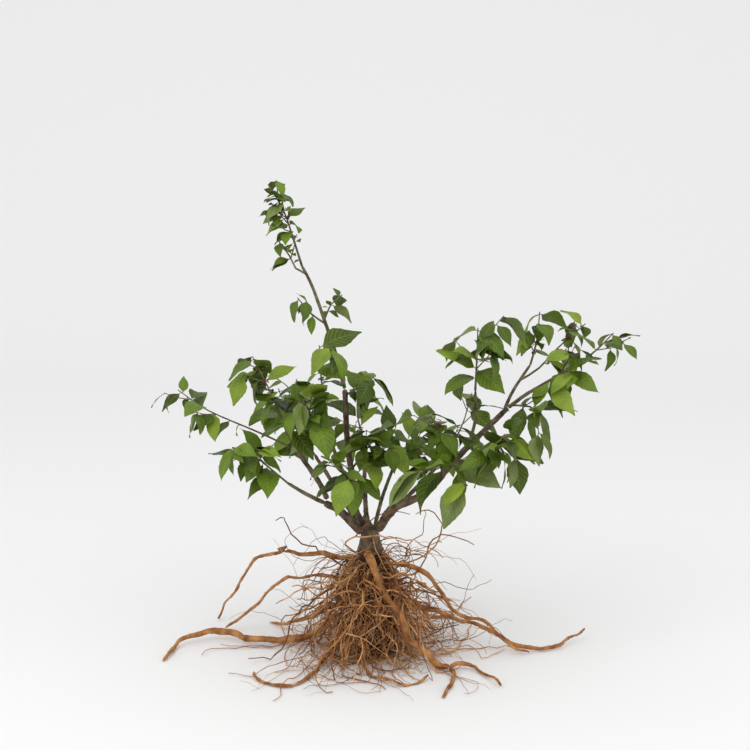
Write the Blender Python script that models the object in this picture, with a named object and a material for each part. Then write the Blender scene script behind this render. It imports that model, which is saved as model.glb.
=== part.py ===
"""A bare-root beautyberry shrub, standing on its own root ball.

The wood is a root crown with two thick boughs, a tall shoot and thinner limbs, each one
tapering solid. The foliage is one mass to a stem: opposite pairs of pointed leaves, short
side twigs and clusters of spent fruit, grown by a seeded rule. Below the crown a core of
dark soil and matted roots stands on its flat underside, with thick roots splayed round it.

Units are metres, +Z is up and +X runs to the right of the front view. The origin is on
the flat underside of the root ball, below the root crown.
"""

import math
import random

import bmesh
import bpy
from mathutils import Quaternion, Vector, noise
from mathutils.bvhtree import BVHTree

MM = 0.001
UP = Vector((0, 0, 1))
PROBE = Vector((0.36, 0.48, 0.8))

# Clearance that neighbouring solids keep, and the step in which a seat is searched
GAP = 0.3 * MM
SEAT_STEP = 0.25 * MM
MERGE = 0.001 * MM

# Root ball: height and radius of each level of its bell, and how lumpy it is
BALL_LEVELS = [(0, 52), (18, 55), (45, 50), (80, 45), (112, 37), (138, 27), (158, 21)]
BALL_SIDES = 18
BALL_LUMP = 3.5 * MM
BALL_LUMP_SIZE = 22 * MM

# Root crown: its levels from the flared foot to the top between the boughs
CROWN_LEVELS = [(158.4, 21), (166, 18), (178, 15.5), (190, 13), (199, 8.5)]
CROWN_SIDES = 14

# Broken stubs on the wood: base, tip, radius at both ends
CROWN_STUBS = [((4, 0, 192), (-9, -6, 219), 5.0, 3.6)]

LIMB_SIDES = 6
LIMB_STEP = 18 * MM
ROOT_SIDES = 6
ROOT_STEP = 24 * MM
STEM_STEP = 20 * MM

# Limbs in mm: name, route from inside what carries it, radius at the foot and at the end
LIMBS = [
    ("left_bough", [(-2, 0, 180), (-24, -13, 205), (-46, -22, 231), (-68, -30, 245)], 7.2, 5.2),
    ("left_low_limb", [(-68, -30, 245), (-97, -50, 266), (-122, -66, 287)], 3.6, 2.2),
    ("left_mid_limb", [(-60, -27, 242), (-74, -18, 270), (-98, -24, 308), (-126, -36, 362)], 3.9, 2.4),
    ("tall_shoot_low", [(-4, 6, 185), (-25, 15, 229), (-29, 20, 283), (-35, 20, 330), (-38, 20, 409)], 5.2, 3.6),
    ("tall_shoot_high", [(-38, 20, 409), (-51, 10, 465), (-67, 0, 517), (-86, -5, 573), (-100, -10, 602)], 3.4, 1.9),
    ("upright_limb", [(-27, 17, 255), (-46, -12, 300), (-58, -30, 343), (-68, -40, 407)], 3.2, 2.1),
    ("right_thin_limb", [(4, 6, 184), (19, 36, 236), (40, 70, 283)], 3.4, 2.3),
    ("right_bough", [(2, 0, 179), (18, -8, 205), (33, -16, 233), (60, -20, 245), (90, -30, 266),
                     (119, -40, 307), (149, -38, 338), (179, -30, 366), (206, -20, 390)], 7.2, 3.6),
    ("right_outer_limb", [(206, -20, 390), (230, -4, 404), (252, 10, 414), (287, 20, 432), (323, 30, 451)], 3.0, 1.9),
    ("right_vertical_limb", [(146, -38, 335), (156, -44, 376), (155, -50, 424)], 2.6, 1.8),
    ("right_upper_limb", [(198, -23, 383), (218, 22, 409), (246, 60, 439)], 2.8, 1.9),
    ("back_left_limb", [(-4, 6, 176), (-46, 80, 224), (-88, 132, 276)], 4.2, 2.4),
    ("back_centre_limb", [(-3, 6, 182), (-8, 92, 216), (-10, 168, 270)], 4.2, 2.4),
    ("back_right_limb", [(4, 6, 183), (52, 84, 214), (104, 148, 249)], 4.2, 2.4),
]

# Roots in mm: name, route from inside the ball or a thicker root, radii
ROOTS = [
    ("root_front", [(0, -2, 171), (1, -32, 162), (4, -43, 141), (12, -51, 122), (30, -58, 104), (46, -64, 84),
                    (52, -70, 53), (68, -76, 30), (96, -82, 11), (119, -86, 6)], 6.8, 5.0),
    ("root_front_tip", [(119, -86, 6), (124, -112, 4), (106, -188, 3)], 3.6, 2.2),
    ("root_front_right", [(112, -84, 8), (158, -80, 5), (174, -116, 4), (191, -149, 3)], 3.6, 1.9),
    ("root_left_arch", [(0, 4, 148), (-80, 36, 141), (-108, 48, 138), (-137, 60, 143)], 3.6, 2.9),
    ("root_left_arch_end", [(-137, 60, 143), (-170, 80, 122), (-194, 92, 108), (-226, 116, 44), (-250, 126, 3)], 2.8, 1.7),
    ("root_left_second", [(0, 2, 117), (-100, 24, 112), (-130, 34, 104), (-158, 50, 78), (-203, 68, 30),
                          (-233, 81, 3)], 3.2, 1.6),
    ("root_left_main", [(0, 0, 78), (-58, 14, 45), (-90, 18, 20), (-136, 18, 10), (-190, 20, 8),
                        (-228, 40, 14), (-278, 26, 12), (-304, 12, 5), (-313, -50, 2.6)], 7.4, 2.3),
    ("root_front_left", [(0, 0, 24), (-62, -26, 8), (-76, -74, 4), (-104, -140, 3.5), (-122, -152, 3),
                         (-160, -134, 3), (-177, -92, 3)], 3.6, 1.7),
    ("root_right_upper", [(0, 0, 146), (66, -4, 134), (90, -8, 122), (124, -14, 76), (146, -18, 60),
                          (174, -20, 56), (194, -24, 28), (220, -26, 8), (246, -25, 3)], 3.8, 1.8),
    ("root_right_long", [(0, 8, 96), (88, 20, 62), (120, 20, 48), (188, 14, 22), (238, -14, 6),
                         (276, -8, 6), (310, 14, 8), (342, 44, 16)], 4.8, 1.6),
    ("root_bottom_thin", [(0, 0, 12), (-12, -74, 3), (-4, -104, 2.4), (18, -124, 2.4), (56, -152, 2.4),
                          (89, -115, 2.4)], 2.2, 1.5),
]

# Roots behind, which the front view hides: how many, their bearing, reach and size
BACK_ROOTS = 5
BACK_BEARING = (38, 158)
BACK_REACH = (170, 235)
BACK_START = (60, 140)
BACK_RADIUS = (4.6, 1.7)
BACK_SEED = 11

# Foliage in mm: name, route of the stem from its limb, leaf nodes, bare share of the stem,
# leaf length and the seed of its draws
MASSES = [
    ("leaves_left_low", [(-122, -66, 287), (-158, -84, 324), (-184, -94, 345)], 5, 0.15, 60, 3),
    ("leaves_left_tip", [(-126, -36, 362), (-146, -34, 414), (-174, -26, 470)], 6, 0.1, 52, 5),
    ("leaves_left_long", [(-108, -28, 326), (-160, -40, 355), (-240, -40, 391), (-285, -30, 420)], 5, 0.42, 46, 8),
    ("leaves_left_inner", [(-118, -32, 346), (-110, -66, 384), (-102, -88, 420)], 5, 0.1, 58, 2),
    ("leaves_tall_top", [(-100, -10, 602), (-115, -20, 654), (-126, -20, 686), (-147, -30, 724)], 8, 0.25, 34, 4),
    ("leaves_tall_side", [(-94, -8, 590), (-109, -18, 600), (-118, -24, 620), (-133, -30, 642)], 2, 0.2, 32, 6),
    ("leaves_tall_left", [(-66, 0, 514), (-86, -20, 532), (-106, -30, 558)], 2, 0.3, 40, 7),
    ("leaves_tall_right", [(-68, 0, 520), (-58, 24, 540), (-42, 36, 552)], 2, 0.3, 38, 9),
    ("leaves_upright_top", [(-68, -40, 407), (-72, -45, 446), (-74, -50, 491)], 3, 0.1, 66, 12),
    ("leaves_upright_side", [(-60, -33, 356), (-80, -62, 382), (-98, -84, 418)], 4, 0.1, 60, 14),
    ("leaves_centre_low", [(-29, 20, 283), (-12, 22, 306), (8, 30, 332)], 5, 0.1, 64, 15),
    ("leaves_centre_up", [(-38, 20, 400), (-18, 34, 409), (6, 42, 424)], 5, 0.2, 50, 16),
    ("leaves_centre_front", [(-30, 14, 262), (-24, -34, 282), (-30, -92, 304)], 5, 0.2, 64, 17),
    ("leaves_right_thin", [(38, 78, 281), (66, 88, 303), (97, 98, 328)], 5, 0.1, 60, 18),
    ("leaves_right_front", [(108, -36, 292), (116, -84, 322), (124, -122, 330)], 5, 0.1, 84, 19),
    ("leaves_right_inner", [(124, -40, 312), (110, -58, 352), (88, -70, 390)], 5, 0.1, 58, 20),
    ("leaves_right_mid", [(172, -32, 360), (186, -72, 352), (194, -108, 344)], 5, 0.15, 64, 21),
    ("leaves_right_low", [(212, -15, 393), (236, -46, 398), (252, -74, 392)], 4, 0.15, 66, 22),
    ("leaves_right_outer", [(280, 18, 428), (288, -10, 444), (300, -40, 446)], 4, 0.15, 60, 23),
    ("leaves_right_vertical", [(155, -50, 424), (156, -60, 471), (157, -60, 519)], 6, 0.05, 58, 24),
    ("leaves_right_upper", [(246, 60, 439), (256, 66, 476), (260, 72, 520)], 5, 0.1, 48, 25),
    ("leaves_right_upper_tip", [(230, 36, 421), (258, 46, 437), (290, 76, 463), (334, 96, 497)], 4, 0.25, 44, 26),
    ("leaves_right_end", [(323, 30, 451), (349, 40, 471), (371, 50, 491)], 3, 0.1, 52, 27),
    ("leaves_back_left", [(-88, 132, 276), (-126, 166, 322), (-150, 196, 372)], 6, 0.0, 62, 28),
    ("leaves_back_centre", [(-6, 168, 275), (-22, 214, 330), (-12, 240, 388)], 6, 0.0, 62, 29),
    ("leaves_back_right", [(104, 148, 249), (146, 186, 304), (166, 208, 362)], 6, 0.0, 62, 30),
]

# Growth rule: stem and twig radii, chances and angles in degrees
STEM_RADIUS = (2.0 * MM, 1.3 * MM)
TWIG_RADIUS = (1.4 * MM, 1.1 * MM)
TWIG_CHANCE = 0.6
TWIG_LENGTH = (0.55, 1.0)
TWIG_LEAF = 0.78
TWIG_LEAN = (35, 60)
LEAF_CHANCE = 0.96
LEAF_SIZE = (0.85, 1.25)
LEAF_LEAN = (5, 45)
LEAF_SAG = (-0.75, 0.1)
LEAF_CURL = (20, 75)
LEAF_ROLL = 38
LEAF_WIDTH = (0.48, 0.6)
PAIR_TURN = 90
PAIR_JITTER = 24
TRIES = 8
LAST_NODE = 0.96
FRUIT_CHANCE = 0.35
FRUIT_RADIUS = (3.2 * MM, 5.0 * MM)

# Leaf blade: stations along it as share of length and of width, and its thickness
BLADE = [(0.0, 0.0), (0.48, 1.0)]
STALK_HALF = (0.9 * MM, 0.65 * MM)
BLADE_HALF = 0.45 * MM
BLADE_FOLD = 0.16
CLEAR_WIDTH = 1.2 * MM
CLEAR_HEIGHT = 0.9 * MM

COLOURS = {
    "bark": ("#57483a", 0.85),
    "young_stem": ("#6b5f4a", 0.7),
    "root_skin": ("#a06f40", 0.8),
    "soil": ("#2a190f", 0.95),
    "foliage": ("#4c6a16", 0.55),
}


def linear(hex_colour):
    """The scene-linear colour of an sRGB hex value."""
    channels = [int(hex_colour[i:i + 2], 16) / 255 for i in (1, 3, 5)]
    return [c / 12.92 if c <= 0.04045 else ((c + 0.055) / 1.055) ** 2.4 for c in channels] + [1]


def material(name):
    """The plain material of one kind of surface."""
    hex_colour, roughness = COLOURS[name]
    made = bpy.data.materials.get(name) or bpy.data.materials.new(name)
    made.use_nodes = True
    shader = made.node_tree.nodes["Principled BSDF"]
    shader.inputs["Base Color"].default_value = linear(hex_colour)
    shader.inputs["Roughness"].default_value = roughness
    shader.inputs["Metallic"].default_value = 0
    return made


def metres(points):
    return [Vector(point) * MM for point in points]


def smooth_path(points, step):
    """Points about one step apart on a smooth curve through the given ones."""
    ends = [2 * points[0] - points[1]] + points + [2 * points[-1] - points[-2]]
    path = [points[0]]
    for before, start, end, after in zip(ends, ends[1:], ends[2:], ends[3:]):
        count = max(1, round((end - start).length / step))
        for i in range(1, count + 1):
            t = i / count
            bend = 2 * before - 5 * start + 4 * end - after
            twist = 3 * start - before - 3 * end + after
            path.append(0.5 * (2 * start + (end - before) * t + bend * t * t + twist * t ** 3))
    return path


def on_path(path, share):
    """The place and direction at a share of the way along a path."""
    at = min(share * (len(path) - 1), len(path) - 1.001)
    i = int(at)
    return path[i].lerp(path[i + 1], at - i), (path[i + 1] - path[i]).normalized()


def nearest_on(path, point):
    """The point of a path's axis that lies nearest to the given one."""
    best = path[0]
    for start, end in zip(path, path[1:]):
        run = end - start
        share = max(0.0, min(1.0, (point - start).dot(run) / run.length_squared))
        place = start + run * share
        if (place - point).length < (best - point).length:
            best = place
    return best


def add_object(name, mesh, surface):
    """A named object in the plant's collection, with its material."""
    item = bpy.data.objects.new(name, mesh)
    plant.objects.link(item)
    mesh.materials.clear()
    mesh.materials.append(material(surface))
    return item


def finish(shape, name, surface):
    """The closed, outward-facing triangle mesh of a bmesh, as an object."""
    bmesh.ops.remove_doubles(shape, verts=shape.verts, dist=1e-7)
    bmesh.ops.recalc_face_normals(shape, faces=shape.faces)
    bmesh.ops.triangulate(shape, faces=shape.faces)
    mesh = bpy.data.meshes.new(name)
    shape.to_mesh(mesh)
    shape.free()
    return add_object(name, mesh, surface)


def tube(name, path, radii, sides, surface):
    """A tapering round tube along a path, with flat ends."""
    curve = bpy.data.curves.new(name, "CURVE")
    curve.dimensions = "3D"
    curve.use_fill_caps = True
    if sides == 3:
        curve.bevel_mode = "OBJECT"
        curve.bevel_object = twig_section
    else:
        curve.bevel_depth = 1.0
        curve.bevel_resolution = sides // 2 - 2
    spline = curve.splines.new("POLY")
    spline.points.add(len(path) - 1)
    for i, place in enumerate(path):
        spline.points[i].co = (*place, 1)
        spline.points[i].radius = radii[0] + (radii[1] - radii[0]) * i / (len(path) - 1)
    guide = bpy.data.objects.new(name + "_route", curve)
    plant.objects.link(guide)
    shape = bmesh.new()
    evaluated = guide.evaluated_get(bpy.context.evaluated_depsgraph_get())
    mesh = bpy.data.meshes.new_from_object(evaluated)
    shape.from_mesh(mesh)
    bpy.data.meshes.remove(mesh)
    bpy.data.objects.remove(guide)
    bpy.data.curves.remove(curve)
    return finish(shape, name, surface)


def turned(name, levels, sides, surface):
    """A closed body turned about +Z from its levels of height and radius in mm."""
    shape = bmesh.new()
    outline = [(0, levels[0][0])] + [(radius, height) for height, radius in levels] + [(0, levels[-1][0])]
    corners = [shape.verts.new((radius * MM, 0, height * MM)) for radius, height in outline]
    edges = [shape.edges.new(pair) for pair in zip(corners, corners[1:])]
    bmesh.ops.spin(shape, geom=corners + edges, axis=UP, cent=(0, 0, 0), angle=math.tau,
                   steps=sides, use_merge=True)
    return finish(shape, name, surface)


def tree_of(item):
    """The search tree of an object's surface."""
    corners = [vertex.co for vertex in item.data.vertices]
    return BVHTree.FromPolygons(corners, [face.vertices for face in item.data.polygons])


def clearance(point, tree):
    """How far a point is outside a closed surface, less than 0 inside it."""
    distance = tree.find_nearest(point)[3]
    hit, normal = tree.ray_cast(point, PROBE)[:2]
    return -distance if hit and normal.dot(PROBE) > 0 else distance


def sleeve_faces(path, radius, sides):
    """Corners and faces of a closed sleeve round a path."""
    corners = []
    side = (path[1] - path[0]).orthogonal()
    for i, place in enumerate(path):
        along = (path[min(i + 1, len(path) - 1)] - path[max(i - 1, 0)]).normalized()
        side = (side - along * side.dot(along)).normalized()
        corners += [place + Quaternion(along, math.tau * k / sides) @ side * radius for k in range(sides)]
    last = len(corners) - sides
    faces = [(i + k, i + (k + 1) % sides, i + sides + (k + 1) % sides, i + sides + k)
             for i in range(0, last, sides) for k in range(sides)]
    return corners, faces + [tuple(range(sides))[::-1], tuple(range(last, last + sides))]


def seated(route, radius, step, carriers):
    """The smooth path of a route, its start slid out until it is just clear of the carriers."""
    slide = (route[1] - route[0]).normalized() * SEAT_STEP
    start = route[0]
    while (route[1] - start).dot(slide) > 0:
        if min(clearance(start, tree) for tree in carriers) > 0:
            path = smooth_path([start] + route[1:], step)
            early = path[0] - (path[1] - path[0]).normalized() * GAP
            corners, faces = sleeve_faces([early] + path[1:], radius * 1.04 + GAP / 2, 12)
            sleeve = BVHTree.FromPolygons(corners, faces)
            if not any(sleeve.overlap(tree) for tree in carriers):
                return path
        start = start + slide
    raise ValueError(f"no seat on the way to {route[1]}")


def joined(name, items, surface):
    """One solid from overlapping ones: a Boolean union, without the scraps it leaves."""
    pieces = bpy.data.collections.new(name + "_pieces")
    for piece in items[1:]:
        pieces.objects.link(piece)
    union = items[0].modifiers.new("union", "BOOLEAN")
    union.operation = "UNION"
    union.operand_type = "COLLECTION"
    union.collection = pieces
    for solver in ("EXACT", "MANIFOLD"):
        union.solver = solver
        evaluated = items[0].evaluated_get(bpy.context.evaluated_depsgraph_get())
        mesh = bpy.data.meshes.new_from_object(evaluated)
        shape = bmesh.new()
        shape.from_mesh(mesh)
        bmesh.ops.remove_doubles(shape, verts=shape.verts, dist=MERGE)
        keep_largest(shape)
        if all(len(edge.link_faces) == 2 for edge in shape.edges):
            break
    for piece in items:
        bpy.data.objects.remove(piece)
    bpy.data.collections.remove(pieces)
    return finish(shape, name, surface)


def keep_largest(shape):
    """Drops every loose body but the one with most faces."""
    bodies = []
    waiting = set(shape.faces)
    while waiting:
        body = {waiting.pop()}
        rim = list(body)
        while rim:
            for edge in rim.pop().edges:
                if len(edge.link_faces) == 2:
                    fresh = set(edge.link_faces) - body
                    body |= fresh
                    rim += fresh
        waiting -= body
        bodies.append(body)
    bodies.sort(key=len)
    scraps = [face for body in bodies[:-1] for face in body]
    bmesh.ops.delete(shape, geom=scraps, context="FACES")


def draws(*key):
    """A stream of draws that depends on nothing but its key."""
    return random.Random("/".join(str(part) for part in key))


def across(along, degrees):
    """The direction square to a shoot, turned about it from the level side."""
    level = along.cross(UP)
    if level.length < 0.05:
        level = Vector((1, 0, 0))
    return Quaternion(along, math.radians(degrees)) @ level.normalized()


def new_leaf(spot, along, bearing, length, draw):
    """One leaf: its foot, heading, upper side, length, width and curl."""
    lean = math.radians(draw.uniform(*LEAF_LEAN))
    heading = across(along, bearing) * math.cos(lean) + along * math.sin(lean)
    heading = (heading + UP * draw.uniform(*LEAF_SAG)).normalized()
    face = heading.cross(UP).cross(heading).normalized()
    face = Quaternion(heading, math.radians(draw.uniform(-LEAF_ROLL, LEAF_ROLL))) @ face
    size = length * draw.uniform(*LEAF_SIZE)
    return spot, heading, face, size, size * draw.uniform(*LEAF_WIDTH), math.radians(draw.uniform(*LEAF_CURL))


def blade_place(leaf, share):
    """Midrib point, side and upper direction at a share of a leaf's length."""
    foot, heading, face, length, _, curl = leaf
    turn = curl * share
    arc = length / curl
    place = foot + heading * arc * math.sin(turn) - face * arc * (1 - math.cos(turn))
    return place, heading.cross(face), face * math.cos(turn) + heading * math.sin(turn)


def leaf_faces(leaf, spare_width=0.0, spare_height=0.0):
    """Corners and faces of a leaf's closed blade, folded up along its midrib."""
    width = leaf[4]
    corners = []
    for share, spread in BLADE:
        place, side, upper = blade_place(leaf, share)
        half = max(STALK_HALF[0], spread * width / 2) + spare_width
        thick = (BLADE_HALF if share else STALK_HALF[1]) + spare_height
        lift = upper * BLADE_FOLD * half if share else Vector()
        corners += [place + side * half + lift, place + upper * thick,
                    place - side * half + lift, place - upper * thick]
    corners.append(blade_place(leaf, 1.0)[0])
    faces = [(0, 1, 2, 3)]
    last = len(corners) - 5
    for ring in range(0, last, 4):
        for i in range(4):
            j = (i + 1) % 4
            faces.append((ring + i, ring + 4 + i, ring + 4 + j, ring + j))
    for i in range(4):
        faces.append((last + i, last + 4, last + (i + 1) % 4))
    return corners, faces


def grow(name, path, nodes, bare, leaf_length, seed, admit):
    """The rule: twigs, leaves and fruit of one mass, each kept where admit allows."""
    twigs = [(path, STEM_RADIUS)]
    leaves = []
    fruit = []
    shoots = [("stem", path, nodes, bare, leaf_length)]
    for shoot, line, count, start, length in shoots:
        first_turn = draws(seed, shoot).uniform(0, PAIR_TURN)
        for k in range(count):
            spot, along = on_path(line, start + (LAST_NODE - start) * (k + 1) / count)
            key = (seed, shoot, k)
            turn = first_turn + PAIR_TURN * k
            draw = draws(*key, "fruit")
            if k < count - 1 and draw.random() < FRUIT_CHANCE:
                radius = draw.uniform(*FRUIT_RADIUS)
                centre = spot + across(along, turn + 90 + draw.choice((0, 180))) * radius * 0.8
                if admit(name, "fruit", (centre, radius)):
                    fruit.append((centre, radius))
            draw = draws(*key, "twig")
            if shoot == "stem" and k < count - 1 and draw.random() < TWIG_CHANCE:
                lean = math.radians(draw.uniform(*TWIG_LEAN))
                out = across(along, turn + 180 * draw.randrange(2) + draw.uniform(-20, 20))
                heading = (out * math.cos(lean) + along * math.sin(lean)).normalized()
                reach = length * draw.uniform(*TWIG_LENGTH)
                twig = [spot, spot + heading * reach * 0.55, spot + (heading * 0.94 + UP * 0.1) * reach]
                if admit(name, "twig", twig):
                    twigs.append((twig, TWIG_RADIUS))
                    shoots.append((f"twig{k}", twig, draw.choice((1, 1, 2)), 0.35, length * TWIG_LEAF))
            for side in (0, 180):
                if draws(*key, side).random() > LEAF_CHANCE:
                    continue
                for attempt in range(TRIES):
                    draw = draws(*key, side, attempt)
                    bearing = turn + side + draw.uniform(-PAIR_JITTER, PAIR_JITTER) * (1 + attempt)
                    leaf = new_leaf(spot, along, bearing, length, draw)
                    if admit(name, "leaf", leaf):
                        leaves.append(leaf)
                        break
    return twigs, leaves, fruit


def admit(name, kind, thing):
    """Whether a new twig, leaf or fruit is clear of the wood, the other masses and the leaves."""
    if kind == "leaf":
        corners, faces = leaf_faces(thing, CLEAR_WIDTH, CLEAR_HEIGHT)
    elif kind == "twig":
        corners, faces = sleeve_faces(thing, TWIG_RADIUS[0] + CLEAR_WIDTH, 3)
    else:
        centre, radius = thing
        corners, faces = sleeve_faces([centre - UP * radius, centre + UP * radius], radius * 1.2, 6)
    tree = BVHTree.FromPolygons(corners, faces)
    for owner, part, other in taken:
        if owner == name and part != "leaf":
            continue
        if tree.overlap(other):
            return False
    if min(corner.z for corner in corners) < 0.16:
        return False
    taken.append((name, kind, tree))
    return True


def solid_leaf(leaf):
    shape = bmesh.new()
    corners, faces = leaf_faces(leaf)
    points = [shape.verts.new(corner) for corner in corners]
    for face in faces:
        shape.faces.new([points[i] for i in face])
    return finish(shape, "leaf", "foliage")


def solid_fruit(centre, radius):
    shape = bmesh.new()
    bmesh.ops.create_uvsphere(shape, u_segments=4, v_segments=2, radius=radius)
    bmesh.ops.translate(shape, verts=shape.verts, vec=centre)
    return finish(shape, "fruit", "foliage")


def build_root_ball():
    """The core of soil and matted roots, lumpy on its sides and flat below and above."""
    ball = turned("root_ball", BALL_LEVELS, BALL_SIDES, "soil")
    low, high = BALL_LEVELS[0][0] * MM, BALL_LEVELS[-1][0] * MM
    for vertex in ball.data.vertices:
        if low + MM < vertex.co.z < high - MM:
            lump = noise.noise(vertex.co / BALL_LUMP_SIZE) * BALL_LUMP
            flat = Vector((vertex.co.x, vertex.co.y, 0)).normalized()
            vertex.co += flat * lump
    return ball


def build_crown():
    """The woody crown where the boughs leave the roots, with an old broken stub."""
    items = [turned("crown", CROWN_LEVELS, CROWN_SIDES, "bark")]
    for foot, tip, foot_radius, tip_radius in CROWN_STUBS:
        items.append(tube("stub", metres([foot, tip]), (foot_radius * MM, tip_radius * MM), LIMB_SIDES, "bark"))
    return joined("root_crown", items, "bark")


def back_roots():
    """Rows for the roots that lie behind, arching out and down to the ground."""
    draw = random.Random(BACK_SEED)
    rows = []
    for i in range(BACK_ROOTS):
        bearing = BACK_BEARING[0] + (BACK_BEARING[1] - BACK_BEARING[0]) * (i + 0.5) / BACK_ROOTS
        reach = draw.uniform(*BACK_REACH)
        height = BACK_START[0] + (BACK_START[1] - BACK_START[0]) * (i % 2) + draw.uniform(-8, 8)
        route = []
        for share, drop in ((0, 1.0), (0.35, 0.9), (0.55, 0.55), (0.78, 0.14), (1.0, 0.02)):
            turn = math.radians(bearing + draw.uniform(-7, 7) * share)
            level = max(height * drop, BACK_RADIUS[1] + 0.5)
            route.append((math.cos(turn) * reach * share, math.sin(turn) * reach * share, level))
        rows.append((f"root_back_{i + 1}", route, *BACK_RADIUS))
    return rows


def build_limbs(rows, step, sides, surface, carriers):
    """Each row's tapering solid, seated on whatever carries it."""
    for name, route, foot_radius, end_radius in rows:
        points = metres(route)
        near = [nearest_on(path, points[0]) for path in axes]
        near = [place for place in near if (place - points[0]).length < 9 * MM]
        if near:
            points[0] = min(near, key=lambda place: (place - points[0]).length)
        path = seated(points, foot_radius * MM, step, carriers)
        item = tube(name, path, (foot_radius * MM, end_radius * MM), sides, surface)
        axes.append(path)
        carriers.append(tree_of(item))
        taken.append((name, "wood", carriers[-1]))


def build_masses(carriers):
    """Every mass of foliage, after all their stems have taken their places."""
    stems = []
    for name, route, *rule in MASSES:
        points = metres(route)
        points[0] = min((nearest_on(path, points[0]) for path in axes),
                        key=lambda place: (place - points[0]).length)
        path = seated(points, STEM_RADIUS[0], STEM_STEP, carriers)
        corners, faces = sleeve_faces(path, STEM_RADIUS[0], 6)
        carriers.append(BVHTree.FromPolygons(corners, faces))
        taken.append((name, "stem", carriers[-1]))
        stems.append((name, path, rule))
    for name, path, (nodes, bare, leaf_length, seed) in stems:
        twigs, leaves, fruit = grow(name, path, nodes, bare, leaf_length * MM, seed, admit)
        items = [tube("twig", line, radii, 3, "foliage") for line, radii in twigs]
        items += [solid_leaf(leaf) for leaf in leaves]
        items += [solid_fruit(centre, radius) for centre, radius in fruit]
        joined(name, items, "foliage")


for item in list(bpy.data.objects):
    bpy.data.objects.remove(item, do_unlink=True)
plant = bpy.data.collections.new("beautyberry")
bpy.context.scene.collection.children.link(plant)
guides = bpy.data.collections.new("guides")
bpy.context.scene.collection.children.link(guides)

section_curve = bpy.data.curves.new("twig_section", "CURVE")
section_curve.dimensions = "2D"
section_line = section_curve.splines.new("POLY")
section_line.points.add(2)
section_line.use_cyclic_u = True
for corner in range(3):
    angle = math.tau * corner / 3
    section_line.points[corner].co = (math.cos(angle), math.sin(angle), 0, 1)
twig_section = bpy.data.objects.new("twig_section", section_curve)
twig_section.hide_render = True
twig_section.display_type = "WIRE"
guides.objects.link(twig_section)

axes = []
taken = []
root_ball = build_root_ball()
root_crown = build_crown()
solids = [tree_of(root_ball), tree_of(root_crown)]
taken += [("root_ball", "wood", solids[0]), ("root_crown", "wood", solids[1])]
build_limbs(LIMBS, LIMB_STEP, LIMB_SIDES, "bark", solids)
build_limbs(ROOTS + back_roots(), ROOT_STEP, ROOT_SIDES, "root_skin", solids)
build_masses(solids)
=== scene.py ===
import math
import random

import bmesh
import bpy
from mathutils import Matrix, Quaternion, Vector, noise
from mathutils.kdtree import KDTree


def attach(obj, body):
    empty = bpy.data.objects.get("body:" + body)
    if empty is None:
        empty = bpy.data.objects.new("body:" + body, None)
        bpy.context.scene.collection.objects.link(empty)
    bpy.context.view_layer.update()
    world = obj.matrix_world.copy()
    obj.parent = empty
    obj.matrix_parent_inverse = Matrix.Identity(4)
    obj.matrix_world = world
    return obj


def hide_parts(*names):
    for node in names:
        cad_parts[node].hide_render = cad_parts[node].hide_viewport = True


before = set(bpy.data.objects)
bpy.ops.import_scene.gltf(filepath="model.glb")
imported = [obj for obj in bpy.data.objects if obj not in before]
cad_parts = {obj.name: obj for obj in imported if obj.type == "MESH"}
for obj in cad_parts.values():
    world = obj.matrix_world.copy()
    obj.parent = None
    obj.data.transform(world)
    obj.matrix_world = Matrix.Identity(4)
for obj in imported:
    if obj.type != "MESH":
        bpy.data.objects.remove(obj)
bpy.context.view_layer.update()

# Studio
# The shrub stands on a plain pale sweep of paper, which bends up behind it, in soft light
# from all sides. It is seen a little from above, with 1.5 mm of the plant to a pixel.
PIXEL = 0.0015
CAMERA_DISTANCE = 2.4
CAMERA_PITCH = math.radians(12)
CAMERA_AIM = Vector((0.0075, 0, 0.436))
IMAGE_WIDTH = 750
SENSOR = 36
FLOOR_SIZE = 10
FLOOR_BEND = 2.0


def linear(hex_colour):
    """The scene-linear colour of an sRGB hex value."""
    channels = [int(hex_colour[i:i + 2], 16) / 255 for i in (1, 3, 5)]
    return [c / 12.92 if c <= 0.04045 else ((c + 0.055) / 1.055) ** 2.4 for c in channels] + [1]


def add_node(tree, kind, settings=(), **links):
    """A shader node with its settings, and its inputs set or linked by name."""
    made = tree.nodes.new(kind)
    for key, value in dict(settings).items():
        setattr(made, key, value)
    for key, value in links.items():
        socket = made.inputs[int(key[1:])] if key[1:].isdigit() else made.inputs[key.replace("_", " ")]
        if isinstance(value, bpy.types.NodeSocket):
            tree.links.new(value, socket)
        else:
            socket.default_value = value
    return made


def new_material(name, roughness, specular=0.5):
    """A material with its node tree and Principled shader."""
    made = bpy.data.materials.new(name)
    made.use_nodes = True
    shader = made.node_tree.nodes["Principled BSDF"]
    shader.inputs["Roughness"].default_value = roughness
    shader.inputs["Specular IOR Level"].default_value = specular
    return made, made.node_tree, shader


camera = bpy.data.objects.new("camera", bpy.data.cameras.new("camera"))
bpy.context.scene.collection.objects.link(camera)
away = Vector((0, -math.cos(CAMERA_PITCH), math.sin(CAMERA_PITCH)))
camera.location = CAMERA_AIM + away * CAMERA_DISTANCE
camera.rotation_euler = away.to_track_quat("Z", "Y").to_euler()
camera.data.sensor_width = SENSOR
camera.data.lens = SENSOR * CAMERA_DISTANCE / (PIXEL * IMAGE_WIDTH)
bpy.context.scene.camera = camera
bpy.context.scene.view_settings.view_transform = "Standard"

world = bpy.data.worlds.new("studio")
world.use_nodes = True
world.node_tree.nodes["Background"].inputs["Color"].default_value = linear("#fbfbfb")
world.node_tree.nodes["Background"].inputs["Strength"].default_value = 0.95
bpy.context.scene.world = world

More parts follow.
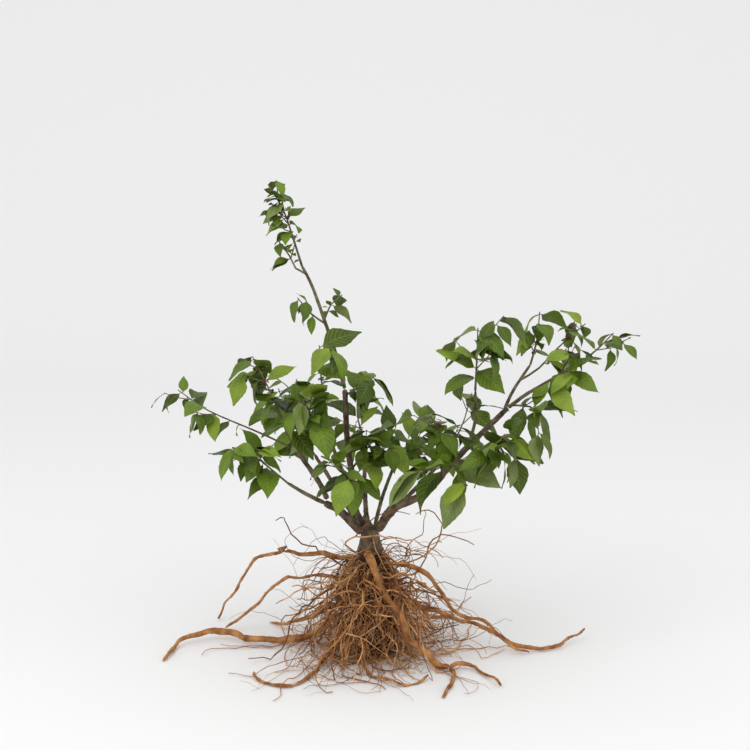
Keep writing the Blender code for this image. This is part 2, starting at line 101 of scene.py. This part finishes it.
for place, size, power in (((-1.2, -1.6, 2.2), 1.6, 20), ((1.6, -1.0, 1.6), 1.4, 7)):
    lamp = bpy.data.objects.new("softbox", bpy.data.lights.new("softbox", "AREA"))
    lamp.data.size = size
    lamp.data.energy = power
    lamp.location = place
    lamp.rotation_euler = (Vector(place) - CAMERA_AIM).to_track_quat("Z", "Y").to_euler()
    bpy.context.scene.collection.objects.link(lamp)

shape = bmesh.new()
bmesh.ops.create_grid(shape, x_segments=1, y_segments=120, size=FLOOR_SIZE)
for vertex in shape.verts:
    vertex.co.z = max(0.0, vertex.co.y - FLOOR_BEND) ** 2 * 0.35
floor_mesh = bpy.data.meshes.new("floor")
shape.to_mesh(floor_mesh)
shape.free()
floor = bpy.data.objects.new("floor", floor_mesh)
floor_mesh.shade_smooth()
floor.location.z = -0.001
bpy.context.scene.collection.objects.link(floor)
paper, paper_tree, paper_shader = new_material("matt_paper", 0.9, 0.1)
paper_shader.inputs["Base Color"].default_value = linear("#f0f0f0")
floor_mesh.materials.append(paper)

# Bark
# The crown, boughs and limbs are woody stems with fissured grey-brown bark, rounded from
# the plain solids and given their ridges; the young ends are smoother and greener.
RIDGE = 0.0009
RIDGE_SIZE = 0.006
KINK_SIZE = 0.035


def bark_material(name, dark, pale, scale, bump):
    """Bark or root skin: blotches of two browns with long fine ridges."""
    made, tree, shader = new_material(name, 0.78, 0.3)
    where = add_node(tree, "ShaderNodeTexCoord")
    blotch = add_node(tree, "ShaderNodeTexNoise", Vector=where.outputs["Object"], Scale=scale, Detail=8.0)
    ramp = add_node(tree, "ShaderNodeValToRGB", Fac=blotch.outputs["Fac"])
    ramp.color_ramp.elements[0].position = 0.35
    ramp.color_ramp.elements[0].color = linear(dark)
    ramp.color_ramp.elements[1].position = 0.65
    ramp.color_ramp.elements[1].color = linear(pale)
    grain = add_node(tree, "ShaderNodeTexNoise", Vector=where.outputs["Object"], Scale=scale * 9, Detail=6.0)
    relief = add_node(tree, "ShaderNodeBump", Height=grain.outputs["Fac"], Strength=bump, Distance=0.001)
    tree.links.new(ramp.outputs["Color"], shader.inputs["Base Color"])
    tree.links.new(relief.outputs["Normal"], shader.inputs["Normal"])
    return made


old_bark = bark_material("old_bark", "#3a2a20", "#75644f", 90, 0.7)
young_bark = bark_material("young_bark", "#4a3b2c", "#7c7658", 70, 0.3)
root_skin = bark_material("root_skin", "#7d4a22", "#c08a55", 60, 0.5)
damp_soil = bark_material("damp_soil", "#120a06", "#3a2114", 120, 1.0)


def add_piece(name, mesh, material, nodes=()):
    """A finished piece on the plant's one body."""
    item = bpy.data.objects.new(name, mesh)
    bpy.context.scene.collection.objects.link(item)
    mesh.materials.clear()
    mesh.materials.append(material)
    mesh.shade_smooth()
    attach(item, "root")
    if nodes:
        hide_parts(*nodes)
    return item


def natural(node, material, ridge, ridge_size, swell, kink=0.0):
    """A CAD node's shape rounded, kinked, and with the relief of its skin, in its place."""
    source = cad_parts[node]
    shape = bmesh.new()
    shape.from_mesh(source.data)
    shape.transform(source.matrix_world)
    bmesh.ops.remove_doubles(shape, verts=shape.verts, dist=1e-6)
    bmesh.ops.subdivide_edges(shape, edges=shape.edges, cuts=2, use_grid_fill=True)
    low = min(vertex.co.z for vertex in shape.verts)
    for _ in range(3):
        bmesh.ops.smooth_vert(shape, verts=shape.verts, factor=0.5, use_axis_x=True, use_axis_y=True, use_axis_z=True)
    bmesh.ops.subdivide_edges(shape, edges=shape.edges, cuts=1, use_grid_fill=True)
    bmesh.ops.smooth_vert(shape, verts=shape.verts, factor=0.5, use_axis_x=True, use_axis_y=True, use_axis_z=True)
    shape.normal_update()
    for vertex in shape.verts:
        fine = noise.noise(vertex.co / ridge_size) + 0.5 * noise.noise(vertex.co / ridge_size * 2.3)
        vertex.co += vertex.normal * (swell + ridge * fine) + noise.noise_vector(vertex.co / KINK_SIZE) * kink
        vertex.co.z = max(vertex.co.z, low)
    mesh = bpy.data.meshes.new(node + "_skin")
    shape.to_mesh(mesh)
    shape.free()
    return add_piece(node + "_skin", mesh, material, [node])


YOUNG = ("right_vertical_limb", "right_upper_limb", "right_outer_limb", "upright_limb", "tall_shoot_high",
         "right_thin_limb", "left_low_limb")
for node in list(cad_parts):
    if node == "root_crown" or (not node.startswith("root_") and not node.startswith("leaves_")):
        young = node in YOUNG
        natural(node, young_bark if young else old_bark, RIDGE * (0.3 if young else 1), RIDGE_SIZE,
                0.0004 if young else 0.0008)

# Roots
# Thick orange-tan roots splay from the ball with kinks and rough skin; a net of fine
# roots grows from the ball and runs out and down between them to the ground.
FINE_ROOTS = 330
HAIR_ROOTS = 700
GROUND = 0.0012
FRONT_REACH = -0.205
ROOT_SEED = 5

for node in list(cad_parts):
    if node.startswith("root_") and node not in ("root_ball", "root_crown"):
        natural(node, root_skin, 0.0011, 0.006, 0.0004, 0.007)


def tubes(name, lines, material, nodes=(), sides=1):
    """Many thin tapering tubes as one mesh. Each line is its points and two radii."""
    curve = bpy.data.curves.new(name, "CURVE")
    curve.dimensions = "3D"
    curve.use_fill_caps = True
    curve.bevel_depth = 1.0
    curve.bevel_resolution = sides
    for points, first, last in lines:
        spline = curve.splines.new("POLY")
        spline.points.add(len(points) - 1)
        for i, point in enumerate(points):
            spline.points[i].co = (*point, 1)
            spline.points[i].radius = first + (last - first) * i / (len(points) - 1)
    guide = bpy.data.objects.new(name + "_guide", curve)
    bpy.context.scene.collection.objects.link(guide)
    mesh = bpy.data.meshes.new_from_object(guide.evaluated_get(bpy.context.evaluated_depsgraph_get()))
    bpy.data.objects.remove(guide)
    return add_piece(name, mesh, material, nodes)


def wander(draw, start, heading, length, steps, sink, shake):
    """The points of a thin root that kinks, sinks and then follows the ground."""
    points = [start]
    for _ in range(steps):
        heading = (heading + Vector([draw.uniform(-shake, shake) for _ in range(3)]) - Vector((0, 0, sink))).normalized()
        place = points[-1] + heading * length / steps
        if place.y < FRONT_REACH:
            heading.y = abs(heading.y)
            place.y = FRONT_REACH
        if place.z < GROUND:
            place.z = GROUND + draw.uniform(0, 0.0006)
            heading.z = 0.05
        points.append(place)
    return points


def ball_radius(height):
    """The root ball's radius at a height, read between the levels of its bell."""
    levels = [(0, 52), (18, 55), (45, 50), (80, 45), (112, 37), (138, 27), (158, 21)]
    for (low, wide), (high, narrow) in zip(levels, levels[1:]):
        if height <= high / 1000:
            share = (height * 1000 - low) / (high - low)
            return (wide + (narrow - wide) * share) / 1000
    return levels[-1][1] / 1000


draw = random.Random(ROOT_SEED)
fine = []
for i in range(FINE_ROOTS):
    turn = draw.uniform(0, math.tau)
    height = 0.155 * draw.random() ** 0.8
    out = Vector((math.cos(turn), math.sin(turn), 0))
    start = out * (ball_radius(height) - 0.004) + Vector((0, 0, height))
    reach = draw.uniform(0.07, 0.25) * (1.0 if draw.random() < 0.75 else 0.5)
    thick = draw.choice((0.0006, 0.0008, 0.0011, 0.0017))
    points = wander(draw, start, (out + Vector((0, 0, draw.uniform(-0.5, 0.35)))).normalized(), reach, 18, 0.12, 0.5)
    fine.append((points, thick, thick * 0.45))
    for _ in range(draw.choice((0, 1, 1, 2))):
        k = draw.randrange(3, 10)
        side = (points[k + 1] - points[k]).normalized() + Vector([draw.uniform(-0.8, 0.8) for _ in range(3)])
        fine.append((wander(draw, points[k], side.normalized(), reach * 0.4, 7, 0.15, 0.4), thick * 0.6, thick * 0.3))
pale_root = bark_material("pale_root", "#a0693c", "#d3a675", 80, 0.2)
dark_root = bark_material("dark_root", "#4c2a15", "#8a5730", 80, 0.4)
bend, arm = (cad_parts[node] for node in ("root_left_arch", "root_left_arch_end"))
corners = [arm.matrix_world @ vertex.co for vertex in arm.data.vertices]
for vertex in bend.data.vertices:
    place = bend.matrix_world @ vertex.co
    near = min(corners, key=lambda corner: (corner - place).length)
    if (near - place).length < 0.012:
        fine.append(([place.lerp(near, -1.5), place.lerp(near, 0.5), place.lerp(near, 2.5)], 0.002, 0.002))
tubes("fine_roots", fine[::3], root_skin)
tubes("fine_roots_dark", fine[1::3], dark_root)
tubes("fine_roots_pale", fine[2::3], pale_root)

hairs = []
for i in range(HAIR_ROOTS):
    turn = draw.uniform(0, math.tau)
    height = 0.157 * draw.random()
    out = Vector((math.cos(turn), math.sin(turn), 0))
    start = out * (ball_radius(height) + 0.0005) + Vector((0, 0, height))
    heading = Vector((-out.y, out.x, draw.uniform(-1.2, 0.4))) * draw.choice((-1, 1)) + out * 0.45
    hairs.append((wander(draw, start, heading.normalized(), draw.uniform(0.02, 0.07), 6, 0.25, 0.6), 0.0004, 0.0002))
tubes("root_hairs", hairs, pale_root, sides=0)

# Root ball
# The core is dark damp soil held together by fine roots, crumbly all over.
natural("root_ball", damp_soil, 0.005, 0.009, -0.001)

# Foliage
# Thin leafy stems grow from the limbs with opposite pairs of pointed leaves, short side
# twigs and small brown clusters of spent fruit at the nodes, by the rule of the solids.
MM = 0.001
UP = Vector((0, 0, 1))
MASSES = [
    ("leaves_left_low", [(-122, -66, 287), (-158, -84, 324), (-184, -94, 345)], 5, 0.15, 60, 3),
    ("leaves_left_tip", [(-126, -36, 362), (-146, -34, 414), (-174, -26, 470)], 6, 0.1, 52, 5),
    ("leaves_left_long", [(-108, -28, 326), (-160, -40, 355), (-240, -40, 391), (-285, -30, 420)], 5, 0.42, 46, 8),
    ("leaves_left_inner", [(-118, -32, 346), (-110, -66, 384), (-102, -88, 420)], 5, 0.1, 58, 2),
    ("leaves_tall_top", [(-100, -10, 602), (-115, -20, 654), (-126, -20, 686), (-147, -30, 724)], 8, 0.25, 34, 4),
    ("leaves_tall_side", [(-94, -8, 590), (-109, -18, 600), (-118, -24, 620), (-133, -30, 642)], 2, 0.2, 32, 6),
    ("leaves_tall_left", [(-66, 0, 514), (-86, -20, 532), (-106, -30, 558)], 2, 0.3, 40, 7),
    ("leaves_tall_right", [(-68, 0, 520), (-58, 24, 540), (-42, 36, 552)], 2, 0.3, 38, 9),
    ("leaves_upright_top", [(-68, -40, 407), (-72, -45, 446), (-74, -50, 491)], 3, 0.1, 66, 12),
    ("leaves_upright_side", [(-60, -33, 356), (-80, -62, 382), (-98, -84, 418)], 4, 0.1, 60, 14),
    ("leaves_centre_low", [(-29, 20, 283), (-12, 22, 306), (8, 30, 332)], 5, 0.1, 64, 15),
    ("leaves_centre_up", [(-38, 20, 400), (-18, 34, 409), (6, 42, 424)], 5, 0.2, 50, 16),
    ("leaves_centre_front", [(-30, 14, 262), (-24, -34, 282), (-30, -92, 304)], 5, 0.2, 64, 17),
    ("leaves_right_thin", [(38, 78, 281), (66, 88, 303), (97, 98, 328)], 5, 0.1, 60, 18),
    ("leaves_right_front", [(108, -36, 292), (116, -84, 322), (124, -122, 330)], 5, 0.1, 84, 19),
    ("leaves_right_inner", [(124, -40, 312), (110, -58, 352), (88, -70, 390)], 5, 0.1, 58, 20),
    ("leaves_right_mid", [(172, -32, 360), (186, -72, 352), (194, -108, 344)], 5, 0.15, 64, 21),
    ("leaves_right_low", [(212, -15, 393), (236, -46, 398), (252, -74, 392)], 4, 0.15, 66, 22),
    ("leaves_right_outer", [(280, 18, 428), (288, -10, 444), (300, -40, 446)], 4, 0.15, 60, 23),
    ("leaves_right_vertical", [(155, -50, 424), (156, -60, 471), (157, -60, 519)], 6, 0.05, 58, 24),
    ("leaves_right_upper", [(246, 60, 439), (256, 66, 476), (260, 72, 520)], 5, 0.1, 48, 25),
    ("leaves_right_upper_tip", [(230, 36, 421), (258, 46, 437), (290, 76, 463), (334, 96, 497)], 4, 0.25, 44, 26),
    ("leaves_right_end", [(323, 30, 451), (349, 40, 471), (371, 50, 491)], 3, 0.1, 52, 27),
    ("leaves_back_left", [(-88, 132, 276), (-126, 166, 322), (-150, 196, 372)], 6, 0.0, 62, 28),
    ("leaves_back_centre", [(-6, 168, 275), (-22, 214, 330), (-12, 240, 388)], 6, 0.0, 62, 29),
    ("leaves_back_right", [(104, 148, 249), (146, 186, 304), (166, 208, 362)], 6, 0.0, 62, 30),
]
STEM_STEP = 20 * MM
STEM_RADIUS = (1.8 * MM, 0.8 * MM)
TWIG_RADIUS = (1.0 * MM, 0.6 * MM)
TWIG_CHANCE = 0.6
TWIG_LENGTH = (0.55, 1.0)
TWIG_LEAF = 0.78
TWIG_LEAN = (35, 60)
LEAF_CHANCE = 0.96
LEAF_SIZE = (0.85, 1.25)
LEAF_LEAN = (5, 45)
LEAF_SAG = (-0.75, 0.1)
LEAF_CURL = (20, 75)
LEAF_ROLL = 38
LEAF_WIDTH = (0.48, 0.6)
PAIR_TURN = 90
PAIR_JITTER = 24
TRIES = 8
LAST_NODE = 0.96
FRUIT_CHANCE = 0.35
FRUIT_RADIUS = (3.2 * MM, 5.0 * MM)
NEAR = 10 * MM
EXTRA_LEAVES = {"leaves_centre_low": 12, "leaves_centre_up": 10, "leaves_centre_front": 12,
                "leaves_left_inner": 10, "leaves_upright_side": 10, "leaves_upright_top": 8,
                "leaves_right_front": 10, "leaves_right_inner": 10, "leaves_right_mid": 10,
                "leaves_right_thin": 8, "leaves_left_low": 8, "leaves_right_upper_tip": 2, "leaves_tall_top": 6}
TONES = ["#43580c", "#50680f", "#607a18", "#788f28", "#6f7e44"]


def smooth_path(points, step):
    """Points about one step apart on a smooth curve through the given ones."""
    ends = [2 * points[0] - points[1]] + points + [2 * points[-1] - points[-2]]
    path = [points[0]]
    for before, start, end, after in zip(ends, ends[1:], ends[2:], ends[3:]):
        count = max(1, round((end - start).length / step))
        for i in range(1, count + 1):
            t = i / count
            bend = 2 * before - 5 * start + 4 * end - after
            twist = 3 * start - before - 3 * end + after
            path.append(0.5 * (2 * start + (end - before) * t + bend * t * t + twist * t ** 3))
    return path


def on_path(path, share):
    """The place and direction at a share of the way along a path."""
    at = min(share * (len(path) - 1), len(path) - 1.001)
    i = int(at)
    return path[i].lerp(path[i + 1], at - i), (path[i + 1] - path[i]).normalized()


def draws(*key):
    """A stream of draws that depends on nothing but its key."""
    return random.Random("/".join(str(part) for part in key))


def across(along, degrees):
    """The direction square to a shoot, turned about it from the level side."""
    level = along.cross(UP)
    if level.length < 0.05:
        level = Vector((1, 0, 0))
    return Quaternion(along, math.radians(degrees)) @ level.normalized()


def new_leaf(spot, along, bearing, length, draw):
    """One leaf: its foot, heading, upper side, length, width and curl."""
    lean = math.radians(draw.uniform(*LEAF_LEAN))
    heading = across(along, bearing) * math.cos(lean) + along * math.sin(lean)
    heading = (heading + UP * draw.uniform(*LEAF_SAG)).normalized()
    face = heading.cross(UP).cross(heading).normalized()
    face = Quaternion(heading, math.radians(draw.uniform(-LEAF_ROLL, LEAF_ROLL))) @ face
    size = length * draw.uniform(*LEAF_SIZE)
    return spot, heading, face, size, size * draw.uniform(*LEAF_WIDTH), math.radians(draw.uniform(*LEAF_CURL))


def blade_place(leaf, share):
    """Midrib point, side and upper direction at a share of a leaf's length."""
    foot, heading, face, length, _, curl = leaf
    turn = curl * share
    arc = length / curl
    place = foot + heading * arc * math.sin(turn) - face * arc * (1 - math.cos(turn))
    return place, heading.cross(face), face * math.cos(turn) + heading * math.sin(turn)


def grow(path, nodes, bare, leaf_length, seed, solid):
    """The rule of the solids: each leaf is the try whose tip the solid has."""
    twigs = [(path, *STEM_RADIUS)]
    leaves = []
    fruit = []
    shoots = [("stem", path, nodes, bare, leaf_length)]
    for shoot, line, count, start, length in shoots:
        first_turn = draws(seed, shoot).uniform(0, PAIR_TURN)
        for k in range(count):
            spot, along = on_path(line, start + (LAST_NODE - start) * (k + 1) / count)
            key = (seed, shoot, k)
            turn = first_turn + PAIR_TURN * k
            draw = draws(*key, "fruit")
            if k < count - 1 and draw.random() < FRUIT_CHANCE:
                radius = draw.uniform(*FRUIT_RADIUS)
                fruit.append((spot + across(along, turn + 90 + draw.choice((0, 180))) * radius * 0.8, radius))
            draw = draws(*key, "twig")
            if shoot == "stem" and k < count - 1 and draw.random() < TWIG_CHANCE:
                lean = math.radians(draw.uniform(*TWIG_LEAN))
                out = across(along, turn + 180 * draw.randrange(2) + draw.uniform(-20, 20))
                heading = (out * math.cos(lean) + along * math.sin(lean)).normalized()
                reach = length * draw.uniform(*TWIG_LENGTH)
                twig = [spot, spot + heading * reach * 0.55, spot + (heading * 0.94 + UP * 0.1) * reach]
                if solid.find(twig[-1])[2] < NEAR:
                    twigs.append((twig, *TWIG_RADIUS))
                    shoots.append((f"twig{k}", twig, draw.choice((1, 1, 2)), 0.35, length * TWIG_LEAF))
            for side in (0, 180):
                if draws(*key, side).random() > LEAF_CHANCE:
                    continue
                tries = []
                for attempt in range(TRIES):
                    draw = draws(*key, side, attempt)
                    bearing = turn + side + draw.uniform(-PAIR_JITTER, PAIR_JITTER) * (1 + attempt)
                    leaf = new_leaf(spot, along, bearing, length, draw)
                    tries.append((solid.find(blade_place(leaf, 1.0)[0])[2], attempt, leaf))
                best = min(tries)
                if best[0] < NEAR:
                    leaves.append(best[2])
    return twigs, leaves, fruit


STATIONS = 12
ACROSS = (-1.0, -0.66, -0.33, 0.0, 0.33, 0.66, 1.0)
STALK = 0.12


def outline(share):
    """Half width of an ovate leaf with a drawn-out tip, as a share of its widest."""
    blade = max(0.0, (share - STALK) / (1 - STALK))
    return math.sin(math.pi * blade ** 0.72) ** 0.9 * (1 - 0.32 * blade ** 2) if 0 < blade < 1 else 0.0


def add_leaf(shape, uv, leaf, draw):
    """A leaf's stalk and folded, wavy blade with a toothed edge."""
    width = leaf[4]
    wave = draw.uniform(0, math.tau)
    rows = []
    for i in range(STATIONS + 1):
        share = STALK * 0.6 + (1 - STALK * 0.6) * i / STATIONS
        place, side, upper = blade_place(leaf, share)
        half = max(0.0005, outline(share) * width / 2) * (1 + (0.05 if i % 2 else 0))
        row = []
        for step in ACROSS:
            lift = 0.2 * abs(step) * half - 0.1 * half * step * step
            lift += 0.05 * width * math.sin(wave + share * 9 + step) * abs(step)
            row.append((shape.verts.new(place + side * step * half + upper * lift), step, share))
        rows.append(row)
    for near, far in zip(rows, rows[1:]):
        for k in range(len(ACROSS) - 1):
            corners = (near[k], near[k + 1], far[k + 1], far[k])
            face = shape.faces.new([corner[0] for corner in corners])
            for loop, corner in zip(face.loops, corners):
                loop[uv].uv = (0.5 + corner[1] / 2, corner[2])


def leaf_material(name, tone):
    """Live leaf: one green, mottled, with paler sunken veins and a satin skin."""
    made, tree, shader = new_material(name, 0.48, 0.25)
    place = add_node(tree, "ShaderNodeUVMap", {"uv_map": "blade"})
    part = add_node(tree, "ShaderNodeSeparateXYZ", Vector=place.outputs["UV"])
    off = add_node(tree, "ShaderNodeMath", {"operation": "SUBTRACT"}, _0=part.outputs["X"], _1=0.5)
    aside = add_node(tree, "ShaderNodeMath", {"operation": "ABSOLUTE"}, _0=off.outputs[0])
    slant = add_node(tree, "ShaderNodeMath", {"operation": "MULTIPLY_ADD"}, _0=aside.outputs[0], _1=-0.45,
                     _2=part.outputs["Y"])
    pitch = add_node(tree, "ShaderNodeMath", {"operation": "MULTIPLY"}, _0=slant.outputs[0], _1=58.0)
    ribs = add_node(tree, "ShaderNodeMath", {"operation": "SINE"}, _0=pitch.outputs[0])
    vein = add_node(tree, "ShaderNodeMapRange", Value=ribs.outputs[0])
    vein.inputs["From Min"].default_value = 0.8
    midrib = add_node(tree, "ShaderNodeMapRange", Value=aside.outputs[0])
    midrib.inputs["From Min"].default_value = 0.035
    midrib.inputs["From Max"].default_value = 0.0
    both = add_node(tree, "ShaderNodeMath", {"operation": "MAXIMUM"}, _0=vein.outputs[0], _1=midrib.outputs[0])
    where = add_node(tree, "ShaderNodeTexCoord")
    mottle = add_node(tree, "ShaderNodeTexNoise", Vector=where.outputs["Object"], Scale=45.0, Detail=4.0)
    ramp = add_node(tree, "ShaderNodeValToRGB", Fac=mottle.outputs["Fac"])
    base = linear(tone)
    ramp.color_ramp.elements[0].position = 0.3
    ramp.color_ramp.elements[0].color = [c * 0.72 for c in base[:3]] + [1]
    ramp.color_ramp.elements[1].position = 0.7
    ramp.color_ramp.elements[1].color = [c * 1.18 for c in base[:3]] + [1]
    share = add_node(tree, "ShaderNodeMath", {"operation": "MULTIPLY"}, _0=both.outputs[0], _1=0.28)
    mix = add_node(tree, "ShaderNodeMix", {"data_type": "RGBA"}, _0=share.outputs[0],
                   _6=ramp.outputs["Color"], _7=linear("#9fae62"))
    relief = add_node(tree, "ShaderNodeBump", Height=both.outputs[0], Strength=0.35, Distance=0.0006)
    relief.invert = True
    tree.links.new(mix.outputs[2], shader.inputs["Base Color"])
    tree.links.new(relief.outputs["Normal"], shader.inputs["Normal"])
    return made


twig_lines = []
fruit_spots = []
sprays = [bmesh.new() for _ in TONES]
maps = [shape.loops.layers.uv.new("blade") for shape in sprays]
for name, route, nodes, bare, leaf_length, seed in MASSES:
    solid_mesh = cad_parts[name].data
    solid = KDTree(len(solid_mesh.vertices))
    for i, vertex in enumerate(solid_mesh.vertices):
        solid.insert(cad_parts[name].matrix_world @ vertex.co, i)
    solid.balance()
    path = smooth_path([Vector(point) * MM for point in route], STEM_STEP)
    twigs, leaves, fruit = grow(path, nodes, bare, leaf_length * MM, seed, solid)
    twig_lines += twigs
    fruit_spots += fruit
    for i in range(EXTRA_LEAVES.get(name, 5)):
        draw = draws(name, "extra", i)
        line = draw.choice(twigs)[0]
        spot, along = on_path(line, draw.uniform(max(bare, 0.15), LAST_NODE))
        leaves.append(new_leaf(spot, along, draw.uniform(0, 360), leaf_length * MM * draw.uniform(0.4, 0.75), draw))
    for i, leaf in enumerate(leaves):
        draw = draws(name, "tone", i)
        tone = draw.choice((0, 0, 1, 1, 1, 2, 2, 3, 4))
        add_leaf(sprays[tone], maps[tone], leaf, draw)
        twig_lines.append(([leaf[0], blade_place(leaf, STALK * 0.8)[0]], 0.0007, 0.0006))
for i, (shape, tone) in enumerate(zip(sprays, TONES)):
    mesh = bpy.data.meshes.new(f"leaves_tone_{i + 1}")
    shape.to_mesh(mesh)
    shape.free()
    add_piece(f"leaves_tone_{i + 1}", mesh, leaf_material(f"live_leaf_{i + 1}", tone),
              [row[0] for row in MASSES])
tubes("leafy_stems", twig_lines, young_bark, [row[0] for row in MASSES])

# Spent fruit
# Each cluster is a knot of dry brown calyx cups on short stalks, left when the berries fell.
CUPS = 16
CUP_RADIUS = 0.0011
shape = bmesh.new()
stalks = []
for i, (centre, radius) in enumerate(fruit_spots):
    draw = draws("fruit", i)
    for _ in range(CUPS):
        out = Vector([draw.gauss(0, 1) for _ in range(3)]).normalized()
        place = centre + out * radius * draw.uniform(0.5, 1.25)
        made = bmesh.ops.create_icosphere(shape, subdivisions=1, radius=CUP_RADIUS * draw.uniform(0.7, 1.2))
        bmesh.ops.translate(shape, verts=made["verts"], vec=place)
        stalks.append(([centre, place], 0.0004, 0.0003))
mesh = bpy.data.meshes.new("spent_fruit")
shape.to_mesh(mesh)
shape.free()
dry_calyx = bark_material("dry_calyx", "#3f2420", "#7a5240", 200, 0.3)
add_piece("spent_fruit", mesh, dry_calyx)
tubes("fruit_stalks", stalks, dry_calyx, sides=0)
